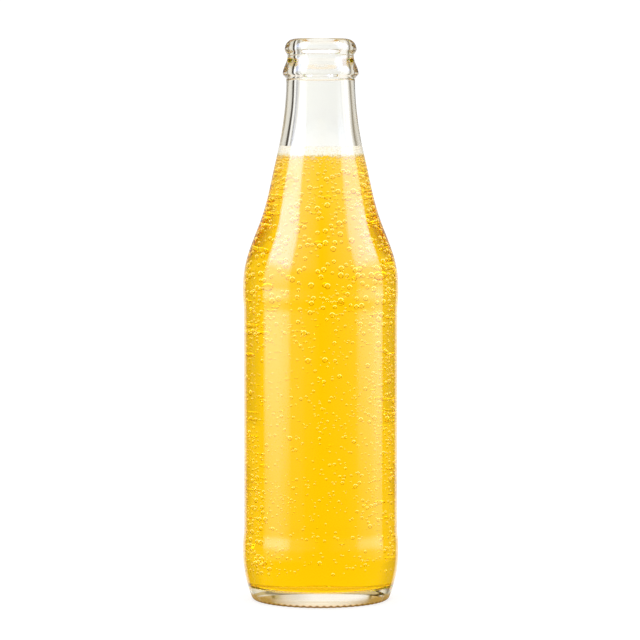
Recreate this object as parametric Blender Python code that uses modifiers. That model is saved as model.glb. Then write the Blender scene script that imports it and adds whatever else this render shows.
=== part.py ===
"""Soda bottle: a clear glass bottle with a crown-cap mouth, the drink in it and the froth that lies on the drink.

Lengths are in metres, +Z is up, and the origin is the centre of the ring that the bottle stands on.
Every piece is turned: a profile of (radius, height) points, spun about Z by a Screw modifier.
"""

import math

import bpy
import numpy as np

TURN_STEPS = 56  # flats round each turned piece
GAP = 0.0003  # clearance between pieces that touch

# Height of the whole bottle, to the top of the lip.
HEIGHT = 0.2080

# Mouth, to the usual sizes for a 26 mm crown cap: a bead that the cap grips, and a ring below it.
LIP_RIDGE_RADIUS = 0.0096
BORE_RADIUS = 0.0082
BORE_EDGE_DEPTH = 0.0018
BEAD_RADIUS = 0.0133
BEAD_HEIGHT = 0.2040
GROOVE_RADIUS = 0.01224
GROOVE_HEIGHT = 0.2017
RING_RADIUS = 0.01404
RING_HEIGHT = 0.1951
NECK_RADIUS = 0.01276
NECK_TOP = 0.1932

# Outside from the neck down to the widest part of the shoulder, as (height, radius).
SHOULDER_TOP = 0.1157
BAND_RADIUS = 0.02885
SHOULDER = [
    (SHOULDER_TOP, BAND_RADIUS),
    (0.1220, 0.02842),
    (0.1280, 0.02705),
    (0.1340, 0.02492),
    (0.1420, 0.02184),
    (0.1500, 0.01953),
    (0.1600, 0.01732),
    (0.1700, 0.01509),
    (0.1780, 0.01379),
    (0.1860, 0.01297),
    (NECK_TOP, NECK_RADIUS),
]

# Label panel, set back between the shoulder band above and the heel band below.
PANEL_RADIUS = 0.02847
PANEL_TOP = 0.1075
PANEL_STEP_TOP = 0.1140
PANEL_BOTTOM = 0.0267
PANEL_STEP_BOTTOM = 0.0205

# Heel, a barrel curve that ends in a small foot radius, and the hollow under the bottle.
HEEL_RADIUS = 0.02892
HEEL_TOP = 0.0178
HEEL_CURVE_RADIUS = 0.045
FOOT_CURVE_RADIUS = 0.0015
FOOT_RING_WIDTH = 0.0018
PUSH_UP_STEP = 0.0009
PUSH_UP_STEP_WIDTH = 0.0016
PUSH_UP_HEIGHT = 0.0034

# Inside of the glass: the floor, its rounded corner, then the wall up to the mouth as (height, radius).
FLOOR_CENTRE = 0.0074
FLOOR_LOW = 0.0050
CORNER_CURVE_RADIUS = 0.0050
BODY_BORE = 0.0255
WALL_STRAIGHT_TOP = 0.1060
WALL = [
    (WALL_STRAIGHT_TOP, BODY_BORE),
    (0.1150, 0.02555),
    (0.1220, 0.02500),
    (0.1280, 0.02365),
    (0.1340, 0.02150),
    (0.1420, 0.01830),
    (0.1500, 0.01575),
    (0.1600, 0.01325),
    (0.1690, 0.01095),
    (0.1785, 0.00955),
    (0.1900, 0.00870),
    (0.1980, 0.00832),
    (HEIGHT - BORE_EDGE_DEPTH, BORE_RADIUS),
]

# What the bottle holds.
DRINK_TOP = 0.1640
FROTH_TOP = 0.1680
FROTH_DIP = 0.0004
FROTH_RELIEF = 0.0007
FROTH_LUMP = 0.0022
FROTH_RINGS = 7


def arc(centre, size, start, end, steps):
    """Points on an ellipse, from one angle to another in degrees, as (radius, height)."""
    angles = np.radians(np.linspace(start, end, steps + 1))
    return np.column_stack([centre[0] + size[0] * np.cos(angles), centre[1] + size[1] * np.sin(angles)])


def ease(start, end, steps):
    """A soft step between two (radius, height) points that leaves and arrives along the axis."""
    share = np.linspace(0.0, 1.0, steps + 1)
    blend = (1.0 - np.cos(math.pi * share)) / 2.0
    return np.column_stack(
        [start[0] + (end[0] - start[0]) * blend, start[1] + (end[1] - start[1]) * share]
    )


def radius_at(stations, heights):
    """Radii at the given heights on a cubic spline through (height, radius) stations, upright at both ends."""
    knots, radii = np.array(stations).T
    spans = np.diff(knots)
    slopes = np.concatenate([[0.0], np.diff(radii) / spans, [0.0]])
    system = np.zeros((len(knots), len(knots)))
    for row in range(len(spans)):
        system[row, row] += 2 * spans[row]
        system[row + 1, row + 1] += 2 * spans[row]
        system[row, row + 1] = spans[row]
        system[row + 1, row] = spans[row]
    bends = np.linalg.solve(system, 6 * np.diff(slopes))
    below = np.clip(np.searchsorted(knots, heights) - 1, 0, len(spans) - 1)
    span = spans[below]
    down = knots[below + 1] - heights
    up = heights - knots[below]
    curve = (bends[below] * down**3 + bends[below + 1] * up**3) / (6 * span)
    line_down = (radii[below] / span - bends[below] * span / 6) * down
    line_up = (radii[below + 1] / span - bends[below + 1] * span / 6) * up
    return curve + line_down + line_up


def spline(stations, top, bottom, steps):
    """Points down that spline, from one height to another."""
    heights = np.linspace(top, bottom, steps + 1)
    return np.column_stack([radius_at(stations, heights), heights])


def wall_radius(heights):
    """Inner radius of the glass above the floor's corner."""
    return radius_at(WALL, np.maximum(heights, WALL_STRAIGHT_TOP))


def mouth():
    """The lip from the bore's edge outwards, the bead, the groove and the ring, down to the neck."""
    return [
        arc(
            (LIP_RIDGE_RADIUS, HEIGHT - BORE_EDGE_DEPTH),
            (LIP_RIDGE_RADIUS - BORE_RADIUS, BORE_EDGE_DEPTH),
            180, 90, 4,
        ),
        arc(
            (LIP_RIDGE_RADIUS, BEAD_HEIGHT),
            (BEAD_RADIUS - LIP_RIDGE_RADIUS, HEIGHT - BEAD_HEIGHT),
            90, 0, 5,
        ),
        ease((BEAD_RADIUS, BEAD_HEIGHT), (GROOVE_RADIUS, GROOVE_HEIGHT), 4),
        ease((GROOVE_RADIUS, GROOVE_HEIGHT), (RING_RADIUS, RING_HEIGHT), 5),
        ease((RING_RADIUS, RING_HEIGHT), (NECK_RADIUS, NECK_TOP), 4),
    ]


def body():
    """The outside from the neck to the heel band, with the label panel set back."""
    return [
        spline(SHOULDER, NECK_TOP, SHOULDER_TOP, 15),
        ease((BAND_RADIUS, PANEL_STEP_TOP), (PANEL_RADIUS, PANEL_TOP), 3),
        ease((PANEL_RADIUS, PANEL_BOTTOM), (HEEL_RADIUS, PANEL_STEP_BOTTOM), 3),
    ]


def heel():
    """The barrel curve, the foot radius that meets it on a common tangent, and the ring that bears."""
    reach = HEEL_CURVE_RADIUS - FOOT_CURVE_RADIUS
    barrel_centre = (HEEL_RADIUS - HEEL_CURVE_RADIUS, HEEL_TOP)
    meet = math.asin((HEEL_TOP - FOOT_CURVE_RADIUS) / reach)
    foot_centre = (barrel_centre[0] + reach * math.cos(meet), FOOT_CURVE_RADIUS)
    meet_angle = -math.degrees(meet)
    curve = (HEEL_CURVE_RADIUS, HEEL_CURVE_RADIUS)
    foot = (FOOT_CURVE_RADIUS, FOOT_CURVE_RADIUS)
    ring_edge = foot_centre[0] - FOOT_RING_WIDTH
    step_edge = ring_edge - PUSH_UP_STEP_WIDTH
    return [
        arc(barrel_centre, curve, 0, meet_angle, 4),
        arc(foot_centre, foot, meet_angle, -90, 3),
        [(ring_edge, 0.0)],
        arc((0.0, PUSH_UP_STEP), (step_edge, PUSH_UP_HEIGHT - PUSH_UP_STEP), 0, 90, 5),
    ]


def inside(top, steps):
    """The inside of the glass from the floor's centre outwards, round its corner and up to one height."""
    corner_edge = BODY_BORE - CORNER_CURVE_RADIUS
    floor_radii = np.linspace(0.0, corner_edge, 5)
    floor_rise = (FLOOR_CENTRE - FLOOR_LOW) * np.cos(math.pi * floor_radii / corner_edge / 2) ** 2
    floor = np.column_stack([floor_radii, FLOOR_LOW + floor_rise])
    corner_centre = (corner_edge, FLOOR_LOW + CORNER_CURVE_RADIUS)
    corner = arc(corner_centre, (CORNER_CURVE_RADIUS, CORNER_CURVE_RADIUS), -90, 0, 5)
    return [floor, corner, spline(WALL, WALL_STRAIGHT_TOP, top, steps)]


def joined(stretches):
    """The stretches of a profile as one list of points, with each shared end kept once."""
    points = np.concatenate([np.array(stretch) for stretch in stretches])
    steps = np.linalg.norm(np.diff(points, axis=0), axis=1)
    return points[np.concatenate([[True], steps > 1e-7])]


def inset(points, distance):
    """A profile moved to the left of its own direction, so into the hollow that it goes round."""
    along = np.gradient(points, axis=0)
    along /= np.linalg.norm(along, axis=1)[:, None]
    moved = points + distance * np.column_stack([-along[:, 1], along[:, 0]])
    moved[0, 0] = 0.0
    return moved


def material(name, color, roughness, transmission):
    """A plain Principled material."""
    made = bpy.data.materials.new(name)
    made.use_nodes = True
    shader = made.node_tree.nodes["Principled BSDF"]
    shader.inputs["Base Color"].default_value = (*color, 1.0)
    shader.inputs["Roughness"].default_value = roughness
    shader.inputs["Metallic"].default_value = 0.0
    shader.inputs["Transmission Weight"].default_value = transmission
    made.diffuse_color = (*color, 1.0)
    return made


def turned(name, profile, finish, collection):
    """An object whose profile is spun about Z. The profile runs down its outer side."""
    mesh = bpy.data.meshes.new(name)
    corners = [(radius, 0.0, height) for radius, height in profile]
    edges = [(index, index + 1) for index in range(len(corners) - 1)]
    mesh.from_pydata(corners, edges, [])
    mesh.materials.append(finish)
    made = bpy.data.objects.new(name, mesh)
    collection.objects.link(made)
    screw = made.modifiers.new("Turn", "SCREW")
    screw.axis = "Z"
    screw.angle = math.tau
    screw.steps = TURN_STEPS
    screw.render_steps = TURN_STEPS
    screw.use_merge_vertices = True
    screw.merge_threshold = 0.00001
    screw.use_smooth_shade = True
    return made


def make_bottle(collection):
    """The glass, one closed wall from the inside's floor over the lip to the hollow underneath."""
    hollow = inside(HEIGHT - BORE_EDGE_DEPTH, 16)
    profile = joined([*hollow, *mouth(), *body(), *heel()])
    profile[-1, 0] = 0.0
    turned("bottle", profile, material("clear_glass", (0.93, 0.95, 0.93), 0.0, 1.0), collection)


def make_soda(collection):
    """The drink, which fills the glass up to the froth."""
    side = inset(joined(inside(DRINK_TOP, 10)), GAP)
    side = side[side[:, 1] < DRINK_TOP]
    brim = [(wall_radius(DRINK_TOP) - GAP, DRINK_TOP)]
    profile = np.concatenate([[(0.0, DRINK_TOP)], brim, side[::-1]])
    turned("soda", profile, material("yellow_soda", (0.98, 0.57, 0.01), 0.0, 0.6), collection)


def make_foam(collection):
    """The froth, a low lumpy head that lies on the drink and reaches the glass all round."""
    bottom = DRINK_TOP + GAP
    edge = wall_radius(FROTH_TOP) - GAP
    rings = np.linspace(0.0, edge, FROTH_RINGS + 1)
    top = np.column_stack([rings, FROTH_TOP - FROTH_DIP * (1.0 - (rings / edge) ** 2)])
    side_heights = np.linspace(FROTH_TOP, bottom, 3)[1:]
    side = np.column_stack([wall_radius(side_heights) - GAP, side_heights])
    profile = np.concatenate([top, side, [(0.0, bottom)]])
    made = turned("foam", profile, material("froth", (0.97, 0.93, 0.80), 0.6, 0.0), collection)
    lumps = bpy.data.textures.new("froth lumps", "CLOUDS")
    lumps.noise_scale = FROTH_LUMP
    made.vertex_groups.new(name="top").add(range(FROTH_RINGS), 1.0, "REPLACE")
    relief = made.modifiers.new("Lumps", "DISPLACE")
    relief.texture = lumps
    relief.texture_coords = "LOCAL"
    relief.direction = "Z"
    relief.strength = FROTH_RELIEF
    relief.vertex_group = "top"


def main():
    for old in list(bpy.data.objects):
        bpy.data.objects.remove(old)
    parts = bpy.data.collections.new("soda_bottle")
    bpy.context.scene.collection.children.link(parts)
    make_bottle(parts)
    make_soda(parts)
    make_foam(parts)


main()
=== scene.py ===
"""Looks of the soda bottle: clear glass, yellow soda, froth and the gas bubbles on the inside of the glass.

Lengths are in metres and +Z is up. The bottle's axis is the Z axis and it stands on the plane z = 0.
Every piece is a grid of points worked out from two parameters and lies in its place in its own mesh.
"""

import math

import bpy
import numpy as np
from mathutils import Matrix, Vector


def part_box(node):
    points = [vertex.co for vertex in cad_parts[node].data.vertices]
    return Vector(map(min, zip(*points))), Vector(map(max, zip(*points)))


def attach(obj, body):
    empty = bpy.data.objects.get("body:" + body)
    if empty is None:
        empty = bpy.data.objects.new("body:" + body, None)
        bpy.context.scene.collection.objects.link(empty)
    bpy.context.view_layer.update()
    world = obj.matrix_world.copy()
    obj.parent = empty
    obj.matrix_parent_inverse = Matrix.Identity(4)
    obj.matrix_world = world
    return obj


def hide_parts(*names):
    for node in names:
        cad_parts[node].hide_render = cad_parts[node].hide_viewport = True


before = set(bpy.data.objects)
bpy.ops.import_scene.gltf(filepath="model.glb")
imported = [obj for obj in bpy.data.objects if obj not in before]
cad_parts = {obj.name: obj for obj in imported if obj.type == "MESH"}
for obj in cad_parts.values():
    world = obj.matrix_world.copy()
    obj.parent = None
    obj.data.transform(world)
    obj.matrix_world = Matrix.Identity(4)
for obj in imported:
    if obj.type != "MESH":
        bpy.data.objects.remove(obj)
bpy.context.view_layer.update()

bl_info = {
    "name": "Soda Bottle",
    "version": (1, 0, 0),
    "blender": (4, 5, 0),
    "location": "View3D > Sidebar > Soda Bottle",
    "description": "Builds a glass soda bottle, its drink, froth and bubbles, and a white studio",
    "category": "Add Mesh",
}

BOTTLE_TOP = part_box("bottle")[1].z
FROTH_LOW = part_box("foam")[0].z
FROTH_HIGH = FROTH_LOW + 0.0037
DRINK_TOP = FROTH_LOW + 0.0006
BODY = "root"

# Outside of the glass, from the mouth to the foot.
LIP_RIDGE_RADIUS = 0.0096
BORE_RADIUS = 0.0082
BORE_EDGE_DEPTH = 0.0018
BEAD_RADIUS = 0.0133
BEAD_HEIGHT = 0.2040
GROOVE_RADIUS = 0.01224
GROOVE_HEIGHT = 0.2017
RING_RADIUS = 0.01404
RING_HEIGHT = 0.1951
NECK_RADIUS = 0.01276
NECK_TOP = 0.1932
SHOULDER_TOP = 0.1157
BAND_RADIUS = 0.02885
SHOULDER = [
    (SHOULDER_TOP, BAND_RADIUS),
    (0.1220, 0.02842),
    (0.1280, 0.02705),
    (0.1340, 0.02492),
    (0.1420, 0.02184),
    (0.1500, 0.01953),
    (0.1600, 0.01732),
    (0.1700, 0.01509),
    (0.1780, 0.01379),
    (0.1860, 0.01297),
    (NECK_TOP, NECK_RADIUS),
]
PANEL_RADIUS = 0.02847
PANEL_TOP = 0.1075
PANEL_STEP_TOP = 0.1140
PANEL_BOTTOM = 0.0267
PANEL_STEP_BOTTOM = 0.0205
HEEL_RADIUS = 0.02892
HEEL_TOP = 0.0178
HEEL_CURVE_RADIUS = 0.045
FOOT_CURVE_RADIUS = 0.0015
FOOT_RING_WIDTH = 0.0018
PUSH_UP_STEP = 0.0009
PUSH_UP_STEP_WIDTH = 0.0016
PUSH_UP_HEIGHT = 0.0034

# Inside of the glass.
FLOOR_CENTRE = 0.0080
FLOOR_LOW = 0.0058
CORNER_CURVE_RADIUS = 0.0025
BODY_BORE = 0.0255
WALL_STRAIGHT_TOP = 0.1060
WALL = [
    (WALL_STRAIGHT_TOP, BODY_BORE),
    (0.1150, 0.02565),
    (0.1220, 0.02530),
    (0.1280, 0.02405),
    (0.1340, 0.02200),
    (0.1420, 0.01890),
    (0.1500, 0.01640),
    (0.1600, 0.01370),
    (0.1690, 0.01095),
    (0.1785, 0.00955),
    (0.1900, 0.00870),
    (0.1980, 0.00832),
    (BOTTLE_TOP - BORE_EDGE_DEPTH, BORE_RADIUS),
]

# Blown glass is a little uneven inside: (waves round the bottle, height of a wave, its depth, its phase).
# The waves fade out over a short height at the floor and at the mouth.
WALL_WAVES = [(2, 0.071, 0.00010, 0.4), (3, 0.043, 0.00007, 2.1), (5, 0.026, 0.00003, 4.0)]
WAVES_FADE = 0.012

# How far the drink and the froth reach into the glass, so that no air shows between them.
REACH = 0.00012

# The knurl under the foot: its middle, its half width and the height that it stays under.
KNURL_RADIUS = 0.0234
KNURL_HALF_WIDTH = 0.0011
KNURL_TOP = 0.0008

# The foot: heights where its painted brown shade and its worn matt ring begin and are full, how far the
# knurl lifts the shade's edge, and how much the ring covers.
PAINTED_SHADE_TOP = 0.0011
PAINTED_SHADE_FULL = 0.0005
PAINTED_SHADE_LIFT = 0.00025
SCUFF_TOP = 0.0036
SCUFF_FULL = 0.0022
SCUFF_COVER = 0.85

# Layer Weight's Facing, from 0 straight on to 1 edge on, between which the matt ring turns brown, a painted
# reflection.
SLANT_START = 0.12
SLANT_END = 0.42

# Bubbles: their radii, lowest and highest place, the gap to the glass and where the middle piece begins.
SMALLEST_BUBBLE = 0.00010
LARGEST_BUBBLE = 0.00105
LOWEST_BUBBLE = 0.0115
HIGHEST_BUBBLE = FROTH_LOW - 0.0010
BUBBLE_GAP = 0.00002
MIDDLE_BUBBLES = 0.055

# Bubbles straight behind: half the angle that they take up, the share left out and the scale of the others.
BEHIND_ANGLE = math.radians(26)
BEHIND_LEFT_OUT = 0.75
BEHIND_SCALE = 0.8

# Limits between kinds of light path: it crosses 2 surfaces through the solid foot, 4 through the empty neck
# and 6 through the drink.
FOOT_CROSSINGS = 2.5
EMPTY_CROSSINGS = 4.5
DRINK_CROSSINGS = 6.5

# The round floor and the light banks, with the height where the banks' tints end.
FLOOR_RADIUS = 0.7
FLOOR_SIDES = 96
BANK_DISTANCE = 0.9
BANK_BOTTOM = -0.5
BANK_TOP = 1.6
BANK_DEGREES = 120.0
TINT_TOP = 1.25

# Paths to the floor: how far from the axis they start, and the square of the height of those from the mouth.
USUAL_START = 0.02
MOUTH_HEIGHT_SQUARE = 0.034

# Azimuths, in radians, between which the lower rims of bubbles change to their colour at the sides.
SIDE_START = 0.17
SIDE_END = 0.28


def arc(centre, size, start, end, steps):
    """(radius, height) = centre + size * (cos a, sin a), for angles a from start to end in degrees."""
    angles = np.radians(np.linspace(start, end, steps + 1))
    return np.column_stack([centre[0] + size[0] * np.cos(angles), centre[1] + size[1] * np.sin(angles)])


def ease(start, end, steps):
    """radius = r0 + (r1 - r0) * (1 - cos(pi t)) / 2 and height = z0 + (z1 - z0) * t, for t from 0 to 1."""
    share = np.linspace(0.0, 1.0, steps + 1)
    blend = (1.0 - np.cos(math.pi * share)) / 2.0
    return np.column_stack([start[0] + (end[0] - start[0]) * blend, start[1] + (end[1] - start[1]) * share])


def radius_at(stations, heights):
    """radius(z), the cubic spline through (height, radius) stations whose slope is zero at both ends."""
    knots, radii = np.array(stations).T
    spans = np.diff(knots)
    slopes = np.concatenate([[0.0], np.diff(radii) / spans, [0.0]])
    system = np.zeros((len(knots), len(knots)))
    for row in range(len(spans)):
        system[row, row] += 2 * spans[row]
        system[row + 1, row + 1] += 2 * spans[row]
        system[row, row + 1] = spans[row]
        system[row + 1, row] = spans[row]
    bends = np.linalg.solve(system, 6 * np.diff(slopes))
    below = np.clip(np.searchsorted(knots, heights) - 1, 0, len(spans) - 1)
    span = spans[below]
    down = knots[below + 1] - heights
    up = heights - knots[below]
    curve = (bends[below] * down**3 + bends[below + 1] * up**3) / (6 * span)
    line_down = (radii[below] / span - bends[below] * span / 6) * down
    line_up = (radii[below + 1] / span - bends[below + 1] * span / 6) * up
    return curve + line_down + line_up


def spline(stations, top, bottom, steps):
    """Points (radius(z), z) on that spline, with z from top to bottom in even steps."""
    heights = np.linspace(top, bottom, steps + 1)
    return np.column_stack([radius_at(stations, heights), heights])


def straight(start, end, steps):
    """Points start + (end - start) * t, for t from 0 to 1 in even steps."""
    share = np.linspace(0.0, 1.0, steps + 1)[:, None]
    return np.array(start) + (np.array(end) - np.array(start)) * share


def joined(stretches):
    """The stretches of a profile end to end, with each shared end kept once."""
    points = np.concatenate(stretches)
    steps = np.linalg.norm(np.diff(points, axis=0), axis=1)
    return points[np.concatenate([[True], steps > 1e-7])]


def inner_radius(heights):
    """Inner radius of the glass above the corner of its floor."""
    return radius_at(WALL, np.maximum(heights, WALL_STRAIGHT_TOP))


def inside_profile(top, wall_steps):
    """Floor z = low + rise * cos(pi r / 2 r_edge)^2, a quarter round, then the inner wall up to top."""
    corner_edge = BODY_BORE - CORNER_CURVE_RADIUS
    floor_radii = np.linspace(0.0, corner_edge, 13)
    rise = (FLOOR_CENTRE - FLOOR_LOW) * np.cos(math.pi * floor_radii / corner_edge / 2) ** 2
    floor = np.column_stack([floor_radii, FLOOR_LOW + rise])
    corner_top = (BODY_BORE, FLOOR_LOW + CORNER_CURVE_RADIUS)
    corner = arc((corner_edge, corner_top[1]), (CORNER_CURVE_RADIUS, CORNER_CURVE_RADIUS), -90, 0, 10)
    body = straight(corner_top, (BODY_BORE, WALL_STRAIGHT_TOP), 12)
    return joined([floor, corner, body, spline(WALL, WALL_STRAIGHT_TOP, top, wall_steps)])


def mouth_profile():
    """Lip, bead, groove and ring, from the bore's edge down to the neck."""
    lip_edge = BOTTLE_TOP - BORE_EDGE_DEPTH
    inner = (LIP_RIDGE_RADIUS - BORE_RADIUS, BORE_EDGE_DEPTH)
    outer = (BEAD_RADIUS - LIP_RIDGE_RADIUS, BOTTLE_TOP - BEAD_HEIGHT)
    return joined([
        arc((LIP_RIDGE_RADIUS, lip_edge), inner, 180, 90, 10),
        arc((LIP_RIDGE_RADIUS, BEAD_HEIGHT), outer, 90, 0, 16),
        ease((BEAD_RADIUS, BEAD_HEIGHT), (GROOVE_RADIUS, GROOVE_HEIGHT), 10),
        ease((GROOVE_RADIUS, GROOVE_HEIGHT), (RING_RADIUS, RING_HEIGHT), 14),
        ease((RING_RADIUS, RING_HEIGHT), (NECK_RADIUS, NECK_TOP), 10),
    ])


def body_profile():
    """Shoulder, label panel and heel band, from the neck down."""
    return joined([
        spline(SHOULDER, NECK_TOP, SHOULDER_TOP, 60),
        ease((BAND_RADIUS, PANEL_STEP_TOP), (PANEL_RADIUS, PANEL_TOP), 10),
        straight((PANEL_RADIUS, PANEL_TOP), (PANEL_RADIUS, PANEL_BOTTOM), 5),
        ease((PANEL_RADIUS, PANEL_BOTTOM), (HEEL_RADIUS, PANEL_STEP_BOTTOM), 10),
    ])


def heel_profile():
    """Barrel curve of the heel, its tangent foot radius, the bearing ring and the push-up, to the axis."""
    reach = HEEL_CURVE_RADIUS - FOOT_CURVE_RADIUS
    barrel_centre = (HEEL_RADIUS - HEEL_CURVE_RADIUS, HEEL_TOP)
    meet = math.asin((HEEL_TOP - FOOT_CURVE_RADIUS) / reach)
    foot_centre = (barrel_centre[0] + reach * math.cos(meet), FOOT_CURVE_RADIUS)
    ring_edge = foot_centre[0] - FOOT_RING_WIDTH
    step_edge = ring_edge - PUSH_UP_STEP_WIDTH
    return joined([
        arc(barrel_centre, (HEEL_CURVE_RADIUS, HEEL_CURVE_RADIUS), 0, -math.degrees(meet), 12),
        arc(foot_centre, (FOOT_CURVE_RADIUS, FOOT_CURVE_RADIUS), -math.degrees(meet), -90, 8),
        straight((foot_centre[0], 0.0), (ring_edge, 0.0), 5),
        straight((ring_edge, 0.0), (step_edge, PUSH_UP_STEP), 3),
        arc((0.0, PUSH_UP_STEP), (step_edge, PUSH_UP_HEIGHT - PUSH_UP_STEP), 0, 90, 10),
    ])


def wall_ripple(angles, heights):
    """Sum of depth * cos(n a + phase) * sin(2 pi z / wave), faded out at the floor and at the mouth."""
    total = np.zeros(np.broadcast(angles, heights).shape)
    for count, wave, depth, phase in WALL_WAVES:
        total += depth * np.cos(count * angles + phase) * np.sin(2 * math.pi * heights / wave + phase)
    fade_low = np.clip((heights - FLOOR_LOW - CORNER_CURVE_RADIUS) / WAVES_FADE, 0.0, 1.0)
    fade_high = np.clip((NECK_TOP - heights) / WAVES_FADE, 0.0, 1.0)
    return total * fade_low * fade_high


def round_grid(profile, flats):
    """Angles round the axis, and each profile point's radius and height at every angle."""
    angles = np.arange(flats) * math.tau / flats
    radii = np.repeat(profile[:, :1], flats, axis=1)
    heights = np.repeat(profile[:, 1:], flats, axis=1)
    return angles, radii, heights


def ring_faces(rings, columns):
    """Quads between closed rings of points, and fans from both end rings to two poles numbered last."""
    index = np.arange(rings * columns).reshape(rings, columns)
    beside = np.roll(index, -1, axis=1)
    quads = np.stack([index[:-1], index[1:], beside[1:], beside[:-1]], axis=-1).reshape(-1, 4)
    first = np.full(columns, rings * columns)
    start = np.stack([first, index[0], beside[0]], axis=-1)
    end = np.stack([index[-1], first + 1, beside[-1]], axis=-1)
    return quads, np.concatenate([start, end])


def turned_mesh(name, radii, heights):
    """A closed surface x = r cos a, y = r sin a, z, from arrays (profile point, angle), with two poles."""
    rows, columns = radii.shape
    angles = np.arange(columns) * math.tau / columns
    grid = np.stack([radii * np.cos(angles), radii * np.sin(angles), heights], axis=-1)
    poles = [[0.0, 0.0, heights[0].mean()], [0.0, 0.0, heights[-1].mean()]]
    points = np.concatenate([grid[1:-1].reshape(-1, 3), poles])
    return mesh_from(name, points, ring_faces(rows - 2, columns))


def mesh_from(name, points, face_groups):
    """A smooth-shaded mesh from an array of points and arrays of faces."""
    mesh = bpy.data.meshes.new(name)
    faces = [face for group in face_groups for face in group.tolist()]
    mesh.from_pydata(points.tolist(), [], faces)
    mesh.shade_smooth()
    mesh.update()
    return mesh


def place(mesh, finish, solid=None):
    """Puts a finished mesh in the scene as a piece that rides on the bottle."""
    mesh.materials.append(finish)
    piece = bpy.data.objects.new(mesh.name, mesh)
    bpy.context.scene.collection.objects.link(piece)
    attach(piece, BODY)
    if solid:
        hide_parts(solid)


def linear(code):
    """Linear colour of an sRGB hex code such as ffcc00."""
    shares = [int(code[digit:digit + 2], 16) / 255 for digit in (0, 2, 4)]
    return tuple(s / 12.92 if s <= 0.04045 else ((s + 0.055) / 1.055) ** 2.4 for s in shares)


# Settings of a Mix node that mixes or multiplies two colours.
COLOURS = {"data_type": "RGBA"}
PRODUCT = {"data_type": "RGBA", "blend_type": "MULTIPLY"}


def opaque(colour):
    """Red, green, blue and 1 of a colour, which is a hex code, three linear numbers or one for a grey."""
    if isinstance(colour, str):
        colour = linear(colour)
    if not isinstance(colour, tuple):
        colour = (colour,) * 3
    return (*colour, 1.0)


def node(tree, kind, inputs=None, stops=(), **settings):
    """Adds a node with its settings and links. stops are the places and colours of its ramp.

    An input gets a socket, a node's first output in use, a colour or a number. A Mix node of colours has its
    share at input 0 and its colours at 6 and 7.
    """
    made = tree.nodes.new("ShaderNode" + kind)
    for name, value in settings.items():
        setattr(made, name, value)
    for target, value in (inputs or {}).items():
        socket = made.inputs[target]
        if isinstance(value, bpy.types.Node):
            value = next(output for output in value.outputs if output.enabled)
        if isinstance(value, bpy.types.NodeSocket):
            tree.links.new(value, socket)
        else:
            socket.default_value = opaque(value) if socket.type == "RGBA" else value
    if stops:
        elements = made.color_ramp.elements
        elements.remove(elements[1])
        elements[0].position, elements[0].color = stops[0][0], opaque(stops[0][1])
        for at, colour in stops[1:]:
            elements.new(at).color = opaque(colour)
    return made


def spread(stops, start, end):
    """Stops whose places count from start to end, with places from 0 to 1 instead."""
    return [((at - start) / (end - start), colour) for at, colour in stops]


def blank_material(name):
    """A material with an empty node tree."""
    made = bpy.data.materials.new(name)
    made.use_nodes = True
    made.node_tree.nodes.clear()
    return made, made.node_tree


def only_total_reflection(tree, ior):
    """White where a surface reflects all from inside, black elsewhere: for faces where two media meet."""
    # Fresnel is 1 under total reflection, and less than 0.995 at nearly all other angles.
    fresnel = node(tree, "Fresnel", {"IOR": ior})
    whole = node(tree, "Math", {0: fresnel, 1: 0.995}, operation="GREATER_THAN")
    return node(tree, "CombineColor", {0: whole, 1: whole, 2: whole})


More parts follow.
